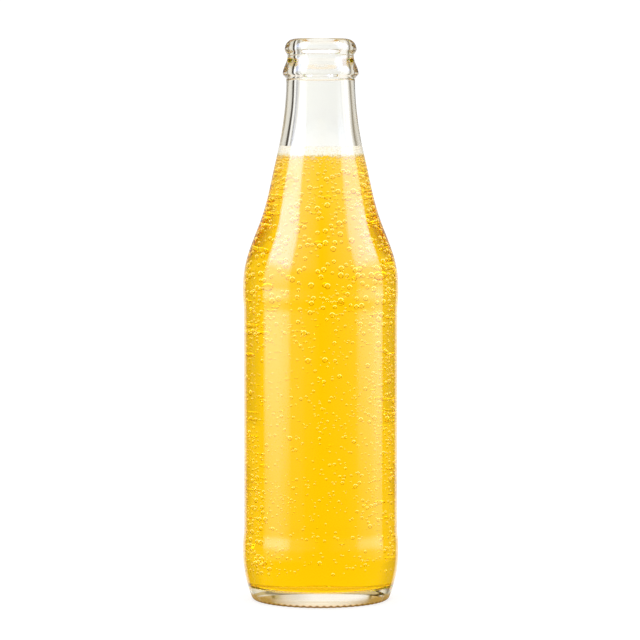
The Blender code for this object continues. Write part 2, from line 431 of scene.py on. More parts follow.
def soda_lime_glass(props, dye_colour):
    """Soda-lime container glass, blown and fire-polished: smooth, hard, bright edges, olive only in depth.

    Where the drink wets it, glass and drink bend light nearly alike, so that side mirrors nothing, and what
    comes through it has the colour of the drink's dye. The mesh's attribute "wet" says where. The foot has a
    painted shade: brown up to a line that the knurl lifts by PAINTED_SHADE_LIFT * cos(bars * angle). Above
    it the foot is worn by use to a matt ring, which shows from outside only, and which turns brown where it
    is seen at a slant, a painted reflection.
    """
    made, tree = blank_material("soda_lime_glass")
    wet = node(tree, "Attribute", attribute_name="wet").outputs["Fac"]
    tint = node(tree, "Mix", {0: wet, 6: props.colour, 7: dye_colour}, **COLOURS)
    mirror = node(tree, "Mix", {0: wet, 6: 1.0, 7: only_total_reflection(tree, props.ior)}, **COLOURS)
    split = node(tree, "SeparateXYZ", {0: node(tree, "TexCoord").outputs["Object"]})
    turn = node(tree, "Math", {0: split.outputs["Y"], 1: split.outputs["X"]}, operation="ARCTAN2")
    along = node(tree, "Math", {0: turn, 1: float(props.bars)}, operation="MULTIPLY")
    bar = node(tree, "Math", {0: along}, operation="COSINE")
    # Painted shade: glass and matt ring turn brown at the very bottom of the foot, a dark outline dashed by
    # the knurl.
    lifted = node(tree, "Math", {0: bar, 1: PAINTED_SHADE_LIFT, 2: split.outputs["Z"]}, operation="MULTIPLY_ADD")
    brown = node(tree, "MapRange", {"Value": lifted, "From Min": PAINTED_SHADE_TOP, "From Max": PAINTED_SHADE_FULL})
    clear_colour = node(tree, "Mix", {0: brown, 6: tint, 7: props.painted_foot_shade}, **COLOURS)
    clear = node(tree, "BsdfPrincipled", {
        "Base Color": clear_colour,
        "Specular Tint": mirror,
        "Roughness": 0.0,
        "IOR": props.ior,
        "Transmission Weight": 1.0,
    })
    # Painted reflection: the matt ring turns amber brown where Layer Weight's Facing says it is seen at a
    # slant.
    facing = node(tree, "LayerWeight", {"Blend": 0.5}).outputs["Facing"]
    slant = node(tree, "MapRange", {"Value": facing, "From Min": SLANT_START, "From Max": SLANT_END})
    scuff_and_reflection_tint = node(tree, "Mix", {0: slant, 6: props.scuff_colour, 7: props.painted_slant_reflection}, **COLOURS)
    scuff_colour = node(tree, "Mix", {0: brown, 6: scuff_and_reflection_tint, 7: props.painted_foot_shade}, **COLOURS)
    scuff = node(tree, "BsdfDiffuse", {"Color": scuff_colour})
    scuffed = node(tree, "MapRange", {
        "Value": split.outputs["Z"],
        "From Min": SCUFF_TOP,
        "From Max": SCUFF_FULL,
        "To Max": SCUFF_COVER,
    })
    back = node(tree, "NewGeometry").outputs["Backfacing"]
    outer = node(tree, "Math", {0: 1.0, 1: back}, operation="SUBTRACT")
    worn = node(tree, "Math", {0: scuffed, 1: outer}, operation="MULTIPLY")
    surface = node(tree, "MixShader", {0: worn, 1: clear, 2: scuff})
    depth = node(tree, "VolumeAbsorption", {"Color": props.depth_colour, "Density": props.depth_density})
    node(tree, "OutputMaterial", {"Surface": surface, "Volume": depth})
    return made


def yellow_soda(props):
    """Clear sweetened water with a yellow dye, which takes out all the blue light and some of the green."""
    made, tree = blank_material("yellow_soda")
    surface = node(tree, "BsdfPrincipled", {
        "Base Color": props.colour,
        "Specular Tint": only_total_reflection(tree, props.ior),
        "Roughness": 0.0,
        "IOR": props.ior,
        "Transmission Weight": 1.0,
    })
    depth = node(tree, "VolumeAbsorption", {"Color": props.depth_colour, "Density": props.depth_density})
    node(tree, "OutputMaterial", {"Surface": surface, "Volume": depth})
    return made


def soda_gas(props, ior):
    """Carbon dioxide in soda: it bends light outwards and mirrors it at the rim, so a bubble is a ring.

    The pale arc on the upper rim is a painted highlight: an Emission with strength smoothstep of the rim *
    smoothstep of the normal's height, in place of the light overhead that the rim would mirror. The lower
    part mirrors the drink itself, so it is a nearly clear Transparent BSDF, with a painted shadow of the
    drink's colour at its rim.
    """
    made, tree = blank_material("soda_gas")
    bent = node(tree, "BsdfGlass", {"Color": 1.0, "Roughness": 0.0, "IOR": 1.0 / ior})
    edge = node(tree, "LayerWeight", {"Blend": 0.5}).outputs["Facing"]
    side = node(tree, "NewGeometry")
    back = side.outputs["Backfacing"]
    split = node(tree, "SeparateXYZ", {0: side.outputs["Normal"]})
    outwards = node(tree, "Math", {0: back, 1: -2.0, 2: 1.0}, operation="MULTIPLY_ADD")
    height = node(tree, "Math", {0: split.outputs["Z"], 1: outwards}, operation="MULTIPLY")
    rim, upper, lower, shadow = (
        node(
            tree, "MapRange", {"Value": value, "From Min": start, "From Max": end, "To Max": full},
            interpolation_type="SMOOTHSTEP",
        )
        for value, start, end, full in (
            (edge, 0.33, 0.60, 1.0), (height, 0.10, 0.75, 1.0),
            (height, 0.15, -0.25, 0.75), (edge, 0.25, 0.60, 1.0),
        )
    )
    front = node(tree, "Math", {0: 1.0, 1: back}, operation="SUBTRACT")
    # Painted highlight: an Emission lights the upper rim of each bubble's front face.
    painted_arc_share = node(tree, "Math", {0: rim, 1: upper}, operation="MULTIPLY")
    share = node(tree, "Math", {0: painted_arc_share, 1: front}, operation="MULTIPLY")
    power = node(tree, "Math", {0: share, 1: props.painted_glint_strength}, operation="MULTIPLY")
    light = node(tree, "Emission", {"Color": props.painted_glint, "Strength": power})
    both = node(tree, "AddShader", {0: bent, 1: light})
    # Painted shade: the lower part's Transparent BSDF darkens to the drink's colour towards the rim.
    shadow_colour = node(tree, "Mix", {0: shadow, 6: 1.0, 7: props.painted_rim_shade}, **COLOURS)
    unseen = node(tree, "BsdfTransparent", {"Color": shadow_colour})
    node(tree, "OutputMaterial", {"Surface": node(tree, "MixShader", {0: lower, 1: both, 2: unseen})})
    return made


def soda_froth(props):
    """Froth of fine gas bubbles: it scatters all the light, so it is white, with the soda's yellow below."""
    made, tree = blank_material("soda_froth")
    place_of = node(tree, "TexCoord").outputs["Object"]
    split = node(tree, "SeparateXYZ", {0: place_of})
    # The drink's yellow fades out from just under the froth's lower edge to 1.2 mm above it.
    level = node(tree, "MapRange", {
        "Value": split.outputs["Z"],
        "From Min": FROTH_LOW - 0.0006,
        "From Max": FROTH_LOW + 0.0012,
    })
    tint = node(tree, "Mix", {0: level, 6: props.low_colour, 7: props.top_colour}, **COLOURS)
    cells = node(tree, "TexVoronoi", {"Vector": place_of, "Scale": 1.0 / props.cell}).outputs["Distance"]
    # Between the bubbles, which are one cell wide, the liquid shows darker, and more so low down: partly the
    # yellow liquid, partly painted shade in place of the froth's shading.
    walls_and_shade = node(tree, "MapRange", {"Value": cells, "From Min": 0.35, "From Max": 0.75, "To Max": 0.7})
    below = node(tree, "Math", {0: 1.3, 1: level}, operation="SUBTRACT", use_clamp=True)
    thin = node(tree, "Math", {0: walls_and_shade, 1: below}, operation="MULTIPLY")
    foam = node(tree, "Mix", {0: thin, 6: tint, 7: props.wall_and_shade_colour}, **COLOURS)
    dents = node(tree, "Bump", {"Height": cells, "Distance": props.cell * 0.6, "Strength": 0.7}, invert=True)
    # Painted light: the froth's Emission, glow times its own colour, stands in for light that wanders about
    # inside it.
    surface = node(tree, "BsdfPrincipled", {
        "Base Color": foam,
        "Emission Color": foam,
        "Normal": dents,
        "Roughness": 0.35,
        "IOR": 1.34,
        "Emission Strength": props.glow,
    })
    node(tree, "OutputMaterial", {"Surface": surface})
    return made


class GlassSettings(bpy.types.PropertyGroup):
    """Sizes and colours of the glass bottle."""

    flats: bpy.props.IntProperty(name="Flats", description="Facets round the glass", default=360, min=32)
    bars: bpy.props.IntProperty(name="Knurl bars", description="Bars round the bearing ring", default=64)
    bar_depth: bpy.props.FloatProperty(
        name="Knurl depth", description="Depth between the bars", default=0.0004, unit="LENGTH"
    )
    ior: bpy.props.FloatProperty(name="IOR", description="Index of refraction of the glass", default=1.52)
    colour: bpy.props.StringProperty(
        name="Colour", description="sRGB hex of light that goes through the wall", default="fffffc"
    )
    # Painted shade: the brown of the foot's lowest edge.
    painted_foot_shade: bpy.props.StringProperty(
        name="Foot colour", description="sRGB hex of the worn and knurled foot", default="86601a"
    )
    # Painted reflection: the matt ring's amber brown at a slant.
    painted_slant_reflection: bpy.props.StringProperty(
        name="Scuff on the slant", description="sRGB hex of the matt ring at a slant", default="ad8840"
    )
    scuff_colour: bpy.props.StringProperty(
        name="Scuff colour", description="sRGB hex of the matt ring above the foot", default="fff4dc"
    )
    depth_colour: bpy.props.StringProperty(
        name="Depth colour", description="sRGB hex of the glass seen through its depth", default="cfb97c"
    )
    depth_density: bpy.props.FloatProperty(
        name="Depth density", description="Strength of that colour, per metre", default=11.0
    )


class DrinkSettings(bpy.types.PropertyGroup):
    """Level and colours of the drink."""

    flats: bpy.props.IntProperty(name="Flats", description="Facets round the drink", default=300, min=32)
    ior: bpy.props.FloatProperty(name="IOR", description="Index of refraction of sweet water", default=1.34)
    colour: bpy.props.StringProperty(
        name="Colour", description="sRGB hex of a thin film of it", default="fffdf0"
    )
    dye_colour: bpy.props.StringProperty(
        name="Dye colour", description="sRGB hex of light that enters and leaves the drink", default="ffdcb0"
    )
    depth_colour: bpy.props.StringProperty(
        name="Depth colour", description="sRGB hex of the drink seen through its depth", default="fffb00"
    )
    depth_density: bpy.props.FloatProperty(
        name="Depth density", description="Strength of that colour, per metre", default=104.0
    )


class FrothSettings(bpy.types.PropertyGroup):
    """Relief and colours of the froth."""

    flats: bpy.props.IntProperty(name="Flats", description="Facets round the froth", default=220, min=32)
    cell: bpy.props.FloatProperty(
        name="Cell", description="Width of a froth bubble", default=0.0007, unit="LENGTH"
    )
    relief: bpy.props.FloatProperty(
        name="Relief", description="Height of the froth's lumps", default=0.0004, unit="LENGTH"
    )
    beads: bpy.props.IntProperty(name="Beads", description="Coarse bubbles on its lower edge", default=170)
    seed: bpy.props.IntProperty(name="Seed", description="Seed of their places", default=3)
    # Painted light: strength of the froth's Emission.
    glow: bpy.props.FloatProperty(
        name="Glow", description="Light that wanders about inside the froth", default=0.50
    )
    top_colour: bpy.props.StringProperty(name="Top colour", description="sRGB hex", default="fffbf0")
    low_colour: bpy.props.StringProperty(name="Low colour", description="sRGB hex", default="ffeeb4")
    # Partly the yellow liquid between the froth's bubbles, partly painted shade.
    wall_and_shade_colour: bpy.props.StringProperty(
        name="Wall colour", description="sRGB hex between the froth's bubbles", default="e2cc64"
    )


class BubbleSettings(bpy.types.PropertyGroup):
    """Number and sizes of the gas bubbles that cling to the glass."""

    count: bpy.props.IntProperty(name="Count", description="Bubbles tried on the wall", default=6000)
    seed: bpy.props.IntProperty(name="Seed", description="Seed of their places", default=7)
    small: bpy.props.FloatProperty(
        name="Small radius", description="Usual radius on the body", default=0.00036, unit="LENGTH"
    )
    medium: bpy.props.FloatProperty(
        name="Medium radius", description="Usual radius in clusters and neck", default=0.00033, unit="LENGTH"
    )
    large: bpy.props.FloatProperty(
        name="Large radius", description="Usual radius on the shoulder", default=0.00080, unit="LENGTH"
    )
    # Painted highlight: colour and strength of the Emission arc on each bubble's upper rim.
    painted_glint: bpy.props.StringProperty(
        name="Glint", description="sRGB hex of the pale arc on the upper rim", default="fff0c4"
    )
    # Painted shade: tint of the lower rim's Transparent BSDF.
    painted_rim_shade: bpy.props.StringProperty(
        name="Ring tint", description="sRGB hex of the lower rim's shadow", default="e8ca80"
    )
    painted_glint_strength: bpy.props.FloatProperty(
        name="Glint strength", description="Brightness of that arc", default=1.7
    )


class StudioSettings(bpy.types.PropertyGroup):
    """Camera, backdrop and light banks."""

    distance: bpy.props.FloatProperty(
        name="Distance", description="From the bottle's axis to the camera", default=1.12, unit="LENGTH"
    )
    height: bpy.props.FloatProperty(
        name="Height", description="Height of the camera", default=0.168, unit="LENGTH"
    )
    tilt: bpy.props.FloatProperty(
        name="Tilt", description="How far the camera looks down", default=math.radians(3.27), subtype="ANGLE"
    )
    lens: bpy.props.FloatProperty(name="Lens", description="Focal length in millimetres", default=170.0)
    backdrop: bpy.props.FloatProperty(
        name="Backdrop", description="Brightness of the white behind the bottle", default=1.12
    )
    left_gap: bpy.props.StringProperty(
        name="Left gap", description="sRGB hex of the dark gap left of the backdrop", default="352d24"
    )
    right_gap: bpy.props.StringProperty(
        name="Right gap", description="sRGB hex of the grey gap right of the backdrop", default="958d7c"
    )
    above: bpy.props.StringProperty(
        name="Above", description="sRGB hex of the ceiling", default="c4bca4"
    )
    rim: bpy.props.StringProperty(
        name="Rim", description="sRGB hex of what the lower rims of bubbles mirror", default="fcf8e4"
    )
    rim_side: bpy.props.StringProperty(
        name="Rim side", description="sRGB hex of the same off the middle of the bottle", default="e8dca0"
    )
    floor_glow: bpy.props.StringProperty(
        name="Floor glow", description="sRGB hex of light led up from the foot", default="d6c6a0"
    )
    mouth_glow: bpy.props.StringProperty(
        name="Mouth glow", description="sRGB hex of light led far round inside the ring", default="b8923c"
    )
    glass_shade: bpy.props.StringProperty(
        name="Shade in glass", description="sRGB hex of the shaded floor in the glass", default="f0dcae"
    )
    soda_shade: bpy.props.StringProperty(
        name="Shade in soda", description="sRGB hex of the shaded floor in the drink", default="ddd7cb"
    )
    floor_shade: bpy.props.StringProperty(
        name="Floor shade", description="sRGB hex of the floor under the bottle", default="b39a66"
    )
    bank_colour: bpy.props.StringProperty(
        name="Bank colour", description="sRGB hex of the light banks", default="c8f0ff"
    )
    bank_top_colour: bpy.props.StringProperty(
        name="Bank top colour", description="sRGB hex of the upper part of the light banks", default="b8ccff"
    )


def ball_grid(rows, columns):
    """Points (sin p cos a, sin p sin a, cos p) of a unit ball, with its quads and its fans of triangles."""
    polar = np.linspace(0.0, math.pi, rows + 1)[1:-1, None]
    angles = np.arange(columns) * math.tau / columns
    levels = np.broadcast_to(np.cos(polar), (rows - 1, columns))
    rings = np.stack([np.sin(polar) * np.cos(angles), np.sin(polar) * np.sin(angles), levels], axis=-1)
    points = np.concatenate([rings.reshape(-1, 3), [[0.0, 0.0, 1.0], [0.0, 0.0, -1.0]]])
    return points, *ring_faces(rows - 1, columns)


def scattered(points, quads, fans, centres, radii):
    """A copy of a ball at each centre: point = centre + radius * ball, with the faces' indices moved on."""
    all_points = (centres[:, None, :] + radii[:, None, None] * points[None]).reshape(-1, 3)
    offsets = (np.arange(len(centres)) * len(points))[:, None, None]
    return all_points, (quads[None] + offsets).reshape(-1, 4), (fans[None] + offsets).reshape(-1, 3)


class SODA_OT_glass(bpy.types.Operator):
    """Make the glass bottle"""

    bl_idname = "soda.glass"
    bl_label = "Glass bottle"

    def execute(self, context):
        """One closed wall: radius and height of each profile point, with a ripple inside and a knurl below.

        The knurl lifts the foot by depth * exp(-((r - middle) / half width)^2) * (1 - cos(bars * a)) / 2.
        """
        props = context.scene.soda_glass
        hollow = inside_profile(BOTTLE_TOP - BORE_EDGE_DEPTH, 56)
        profile = joined([hollow, mouth_profile(), body_profile(), heel_profile()])
        angles, radii, heights = round_grid(profile, props.flats)
        inner = slice(0, len(hollow))
        radii[inner] += wall_ripple(angles, heights[inner])
        groove = (1.0 - np.cos(props.bars * angles)) / 2.0
        near_ring = np.exp(-(((radii - KNURL_RADIUS) / KNURL_HALF_WIDTH) ** 2)) * (heights < KNURL_TOP)
        heights += near_ring * groove * props.bar_depth
        mesh = turned_mesh("glass_bottle", radii, heights)
        last_wet = int(np.argmax(hollow[:, 1] > DRINK_TOP))
        wet = np.zeros(len(mesh.polygons), dtype=np.float32)
        wet[: (last_wet - 1) * props.flats] = 1.0
        wet[-2 * props.flats : -props.flats] = 1.0
        mesh.attributes.new("wet", "FLOAT", "FACE").data.foreach_set("value", wet)
        glass = soda_lime_glass(props, context.scene.soda_drink.dye_colour)
        place(mesh, glass, "bottle")
        return {"FINISHED"}


class SODA_OT_drink(bpy.types.Operator):
    """Make the drink"""

    bl_idname = "soda.drink"
    bl_label = "Drink"

    def execute(self, context):
        """A flat top inside the froth, then the inside of the glass, moved out by REACH, to the floor."""
        props = context.scene.soda_drink
        wall = inside_profile(DRINK_TOP, 44)
        along = np.gradient(wall, axis=0)
        along /= np.linalg.norm(along, axis=1)[:, None]
        wall = wall + REACH * np.column_stack([along[:, 1], -along[:, 0]])
        wall[-1, 1] = DRINK_TOP
        top = straight((0.0, DRINK_TOP), tuple(wall[-1]), 12)
        profile = joined([top, wall[::-1]])
        angles, radii, heights = round_grid(profile, props.flats)
        side = slice(len(top) - 1, None)
        radii[side] += wall_ripple(angles, heights[side])
        place(turned_mesh("yellow_soda", radii, heights), yellow_soda(props), "soda")
        return {"FINISHED"}


class SODA_OT_froth(bpy.types.Operator):
    """Make the froth on the drink"""

    bl_idname = "soda.froth"
    bl_label = "Froth"

    def execute(self, context):
        """A low disc: lumps sin(k x) sin(k y) on top, and a lower edge that waves round the glass.

        Its beads are balls with radius = cell * share and places on the wall, all drawn at random.
        """
        props = context.scene.soda_froth
        top_steps = 24
        side_heights = np.linspace(FROTH_HIGH, FROTH_LOW, 14)
        side = np.column_stack([inner_radius(side_heights) + REACH, side_heights])
        profile = joined([
            straight((0.0, FROTH_HIGH), tuple(side[0]), top_steps),
            side,
            straight(tuple(side[-1]), (0.0, FROTH_LOW), 16),
        ])
        angles, radii, heights = round_grid(profile, props.flats)
        x, y = radii * np.cos(angles), radii * np.sin(angles)
        wave = math.tau / (4 * props.cell)
        lumps = np.sin(wave * x + 1.3) * np.sin(wave * y) + np.sin(1.7 * wave * (x + y)) / 2
        share = np.clip((heights - FROTH_LOW) / (FROTH_HIGH - FROTH_LOW), 0.0, 1.0)
        rim = np.cos(9 * angles) + np.cos(23 * angles + 1.0) + np.abs(np.cos(29 * angles + 2.0)) * 2.0
        off_wall = radii < side[0, 0] - 0.0004
        heights += share * props.relief * (lumps / 1.5 - 0.6) * off_wall
        heights += (1.0 - share) * props.relief * (rim / 2 - 0.6)
        by_wall = slice(top_steps, top_steps + len(side) + 1)
        radii[by_wall] += wall_ripple(angles, heights[by_wall])
        froth = soda_froth(props)
        place(turned_mesh("froth", radii, heights), froth, "foam")
        random = np.random.default_rng(props.seed)
        sizes = props.cell * random.uniform(0.30, 0.75, props.beads)
        turns = random.uniform(0.0, math.tau, props.beads)
        levels = FROTH_LOW + random.uniform(-0.0010, 0.0010, props.beads)
        from_axis = inner_radius(levels) + wall_ripple(turns, levels) - sizes * 0.9
        centres = np.column_stack([from_axis * np.cos(turns), from_axis * np.sin(turns), levels])
        points, quads, fans = scattered(*ball_grid(6, 10), centres, sizes)
        place(mesh_from("froth_beads", points, [quads, fans]), froth)
        return {"FINISHED"}


def wall_bubbles(props):
    """Centres and radii of the bubbles: five groups with places in (angle, height) drawn at random.

    Large ones gather on the shoulder, smaller ones are spread over the body and the neck, a row rests under
    the froth, and the others sit in clusters, which are larger at both sides in front. Straight behind they
    are few and smaller. radius = usual * e ** (spread * n), with n drawn from the bell curve.
    """
    clusters = 90
    side_clusters = 40
    side_angle = 0.42
    side_growth = 1.9
    body_bottom = 0.0120
    random = np.random.default_rng(props.seed)
    under_froth, shoulder, neck, body = (int(props.count * share) for share in (0.05, 0.20, 0.13, 0.34))
    clustered = props.count - under_froth - shoulder - neck - body
    around = np.concatenate([
        random.uniform(0.0, math.tau, clusters - side_clusters),
        np.where(random.random(side_clusters) < 0.5, -side_angle, math.pi + side_angle)
        + random.normal(0.0, 0.20, side_clusters),
    ])
    cluster = random.integers(0, clusters, clustered)
    heights = np.concatenate([
        HIGHEST_BUBBLE - random.exponential(0.0009, under_froth),
        random.normal(0.1290, 0.0150, shoulder),
        random.uniform(0.1430, FROTH_LOW, neck),
        random.uniform(body_bottom, 0.1150, body),
        random.uniform(body_bottom, 0.1200, clusters)[cluster] + random.normal(0.0, 0.0035, clustered),
    ])
    angles = np.concatenate([
        random.uniform(0.0, math.tau, under_froth + shoulder + neck + body),
        around[cluster] + random.normal(0.0, 0.10, clustered),
    ])
    usual = np.concatenate([
        np.repeat(
            [props.medium, props.large, props.medium, props.small], [under_froth, shoulder, neck, body]
        ),
        np.where(cluster < clusters - side_clusters, props.medium, props.medium * side_growth),
    ])
    radii = np.clip(usual * np.exp(random.normal(0.0, 0.30, props.count)), SMALLEST_BUBBLE, LARGEST_BUBBLE)
    heights = np.clip(heights, LOWEST_BUBBLE, HIGHEST_BUBBLE)
    wall = inner_radius(heights) + wall_ripple(angles, heights)
    step = 0.0005
    slope = (inner_radius(heights + step) - inner_radius(heights - step)) / (2 * step)
    lean = np.sqrt(1.0 + slope**2)
    inset = radii * 1.02 + BUBBLE_GAP
    from_axis = wall - inset / lean
    rise = inset * slope / lean
    centres = np.column_stack([from_axis * np.cos(angles), from_axis * np.sin(angles), heights + rise])
    # Single precision is enough to tell which bubbles touch, and takes half the memory.
    short = centres.astype(np.float32)
    squares = (short**2).sum(axis=1)
    apart_square = squares[:, None] + squares[None, :] - 2 * short @ short.T
    touching = apart_square < (radii[:, None] + radii[None, :]) ** 2
    touches_earlier = np.tril(touching, -1).any(axis=1)
    behind = np.abs(np.arctan2(centres[:, 0], centres[:, 1])) < BEHIND_ANGLE
    left_out = behind & (random.random(props.count) < BEHIND_LEFT_OUT)
    kept = ~(touches_earlier | left_out)
    return centres[kept], np.where(behind, radii * BEHIND_SCALE, radii)[kept]


class SODA_OT_bubbles(bpy.types.Operator):
    """Make the gas bubbles that cling to the inside of the glass"""

    bl_idname = "soda.bubbles"
    bl_label = "Gas bubbles"

    def execute(self, context):
        """Balls of gas in three pieces, one above the other."""
        props = context.scene.soda_bubbles
        centres, radii = wall_bubbles(props)
        gas = soda_gas(props, context.scene.soda_drink.ior)
        ball = ball_grid(6, 10)
        limits = (0.0, MIDDLE_BUBBLES, PANEL_TOP, BOTTLE_TOP)
        for name, low, high in zip(("bubbles_low", "bubbles_middle", "bubbles_high"), limits, limits[1:]):
            chosen = (centres[:, 2] >= low) & (centres[:, 2] < high)
            points, quads, fans = scattered(*ball, centres[chosen], radii[chosen])
            place(mesh_from(name, points, [quads, fans]), gas)
        return {"FINISHED"}


def led_boost(tree, crossings, dye_colour):
    """(r, g, b) = (1, k, k), with k = green ** -n, gives back what the dye takes from light led along.

    A straight path through glass, drink and glass crosses 6 surfaces, and 8 where it meets a bubble. n grows
    from 0 at 8 crossings to 12 at 40.
    """
    touches = node(tree, "MapRange", {"Value": crossings, "From Min": 8.0, "From Max": 40.0, "To Max": 12.0})
    boost = node(tree, "Math", {0: 1.0 / linear(dye_colour)[1], 1: touches}, operation="POWER")
    return node(tree, "CombineColor", {0: 1.0, 1: boost, 2: boost})


def white_sweep(props, dye_colour):
    """Matt white studio paper, lit so that it reads as pure white, with only a faint shadow at the foot.

    What the bottle shows of it depends on the kind of light path. Straight paths see it white, and darker
    under the bottle. Light led along inside the glass sees the dark gaps beside the backdrop, or amber from
    the mouth, and in the drink it sees what the lower rims of bubbles mirror. start_square is the square of
    the height that a path comes from, worked out from its length and its run along the floor.
    """
    made, tree = blank_material("white_sweep")
    paths = node(tree, "LightPath")
    crossings = paths.outputs["Transmission Depth"]
    inside = node(tree, "Math", {0: crossings, 1: 0.5}, operation="GREATER_THAN")
    dry = node(tree, "Math", {0: crossings, 1: EMPTY_CROSSINGS}, operation="LESS_THAN")
    few = node(tree, "Math", {0: crossings, 1: DRINK_CROSSINGS}, operation="LESS_THAN")
    led = node(tree, "Math", {0: paths.outputs["Glossy Depth"], 1: 0.5}, operation="GREATER_THAN")
    turned = node(tree, "Math", {0: led, 1: few}, operation="MULTIPLY")
    led_dry = node(tree, "Math", {0: led, 1: dry}, operation="MULTIPLY")
    place_of = node(tree, "TexCoord").outputs["Object"]
    split = node(tree, "SeparateXYZ", {0: place_of})
    angle = node(tree, "Math", {0: split.outputs["X"], 1: split.outputs["Y"]}, operation="ARCTAN2")
    off_middle = node(tree, "Math", {0: angle}, operation="ABSOLUTE")
    from_axis = node(tree, "VectorMath", {0: place_of}, operation="LENGTH").outputs["Value"]
    run = node(tree, "Math", {0: from_axis, 1: USUAL_START}, operation="SUBTRACT")
    run_square = node(tree, "Math", {0: run, 1: run}, operation="MULTIPLY")
    length_square = node(tree, "Math", {0: paths.outputs["Ray Length"], 1: 2.0}, operation="POWER")
    start_square = node(tree, "Math", {0: length_square, 1: run_square}, operation="SUBTRACT")
    # Paths from over 7 to 11 cm up that end within 36 to 48 cm, well off the middle, see the floor darker.
    high = node(tree, "MapRange", {"Value": start_square, "From Min": 0.005, "From Max": 0.012})
    close = node(tree, "MapRange", {"Value": from_axis, "From Min": 0.48, "From Max": 0.36})
    near = node(tree, "Math", {0: high, 1: close}, operation="MULTIPLY")
    far_off = node(tree, "MapRange", {"Value": off_middle, "From Min": 0.40, "From Max": 0.60})
    near_side = node(tree, "Math", {0: far_off, 1: near}, operation="MULTIPLY")
    plain = node(tree, "Mix", {0: near_side, 6: 1.0, 7: (0.64, 0.57, 0.5)}, **COLOURS)
    side_share = node(tree, "MapRange", {"Value": off_middle, "From Min": SIDE_START, "From Max": SIDE_END})
    rim = node(tree, "Mix", {0: side_share, 6: props.rim, 7: props.rim_side}, **COLOURS)
    base = node(tree, "Mix", {0: turned, 6: plain, 7: rim}, **COLOURS)
    boost = led_boost(tree, crossings, dye_colour)
    boosted = node(tree, "Mix", {0: 1.0, 6: base, 7: boost}, **PRODUCT)
    from_mouth = node(tree, "Math", {0: start_square, 1: MOUTH_HEIGHT_SQUARE}, operation="GREATER_THAN")
    mouth_led = node(tree, "Math", {0: from_mouth, 1: led}, operation="MULTIPLY")
    deep = node(tree, "Mix", {0: mouth_led, 6: boosted, 7: props.mouth_glow}, **COLOURS)
    turn = node(tree, "MapRange", {"Value": angle, "From Min": -math.pi, "From Max": math.pi})
    glow, left_gap, right_gap = props.floor_glow, props.left_gap, props.right_gap
    floor_gaps = node(tree, "ValToRGB", {0: turn}, spread([
        (-180, glow), (-50, glow), (-46, left_gap), (-36, left_gap), (-31, glow),
        (12, glow), (17, right_gap), (26, right_gap), (31, glow), (180, glow),
    ], -180, 180))
    colour = node(tree, "Mix", {0: led_dry, 6: deep, 7: floor_gaps}, **COLOURS)
    dry_shade = node(tree, "Mix", {0: inside, 6: props.floor_shade, 7: props.glass_shade}, **COLOURS)
    shade_colour = node(tree, "Mix", {0: dry, 6: props.soda_shade, 7: dry_shade}, **COLOURS)
    unshaded = node(
        tree, "MapRange", {"Value": from_axis, "From Min": 0.028, "From Max": 0.085},
        interpolation_type="SMOOTHSTEP",
    )
    shaded = node(tree, "Mix", {0: unshaded, 6: shade_colour, 7: colour}, **COLOURS)
    through = node(tree, "Emission", {"Color": shaded, "Strength": props.backdrop})
    light = node(tree, "Emission", {"Color": 1.0, "Strength": 0.72})
    paper = node(tree, "BsdfDiffuse", {"Color": 0.36})
    seen = node(tree, "AddShader", {0: light, 1: paper})
    node(tree, "OutputMaterial", {"Surface": node(tree, "MixShader", {0: inside, 1: seen, 2: through})})
    return made


def light_bank(name, side, low, high, tints):
    """A tall curved light bank: x = side * d sin a, y = -d cos a, z, with its strength f(a) blended over z.

    low and high are (strength, stops of (angle in degrees, share)) near the floor and above the bottle, and
    tints are (height, colour).
    """
    angles = np.radians(np.linspace(0.0, BANK_DEGREES, 60))
    levels = np.linspace(BANK_BOTTOM, BANK_TOP, 12)[:, None]
    x = side * BANK_DISTANCE * np.sin(angles) + 0 * levels
    y = -BANK_DISTANCE * np.cos(angles) + 0 * levels
    points = np.stack([x, y, levels + 0 * angles], axis=-1).reshape(-1, 3)
    index = np.arange(len(points)).reshape(len(levels), len(angles))
    corners = [index[:-1, :-1], index[:-1, 1:], index[1:, 1:], index[1:, :-1]]
    mesh = mesh_from(name, points, [np.stack(corners, axis=-1).reshape(-1, 4)])
    made, tree = blank_material(name)
    split = node(tree, "SeparateXYZ", {0: node(tree, "TexCoord").outputs["Object"]})
    across = node(tree, "Math", {0: split.outputs["X"], 1: side}, operation="MULTIPLY")
    ahead = node(tree, "Math", {0: split.outputs["Y"], 1: -1.0}, operation="MULTIPLY")
    angle = node(tree, "Math", {0: across, 1: ahead}, operation="ARCTAN2")
    share = node(tree, "Math", {0: angle, 1: math.pi}, operation="DIVIDE")
    near, far = (
        node(tree, "ValToRGB", {0: share}, spread([(at, strength * value) for at, value in stops], 0, 180))
        for strength, stops in (low, high)
    )
    level, foot, height = (
        node(tree, "MapRange", {"Value": split.outputs["Z"], "From Min": start, "From Max": end})
        for start, end in ((-0.05, 0.32), (-0.14, -0.05), (0.0, TINT_TOP))
    )
    power = node(tree, "Mix", {0: level, 6: near, 7: far}, **COLOURS)
    hue = node(tree, "ValToRGB", {0: height}, spread(tints, 0.0, TINT_TOP))
    tinted = node(tree, "Mix", {0: 1.0, 6: power, 7: hue}, **PRODUCT)
    node(tree, "OutputMaterial", {"Surface": node(tree, "Emission", {"Color": tinted, "Strength": foot})})
    mesh.materials.append(made)
    bank = bpy.data.objects.new(name, mesh)
    bpy.context.scene.collection.objects.link(bank)
    bank.visible_camera = False
    bank.visible_diffuse = False
    bank.visible_transmission = False
    bank.visible_shadow = False


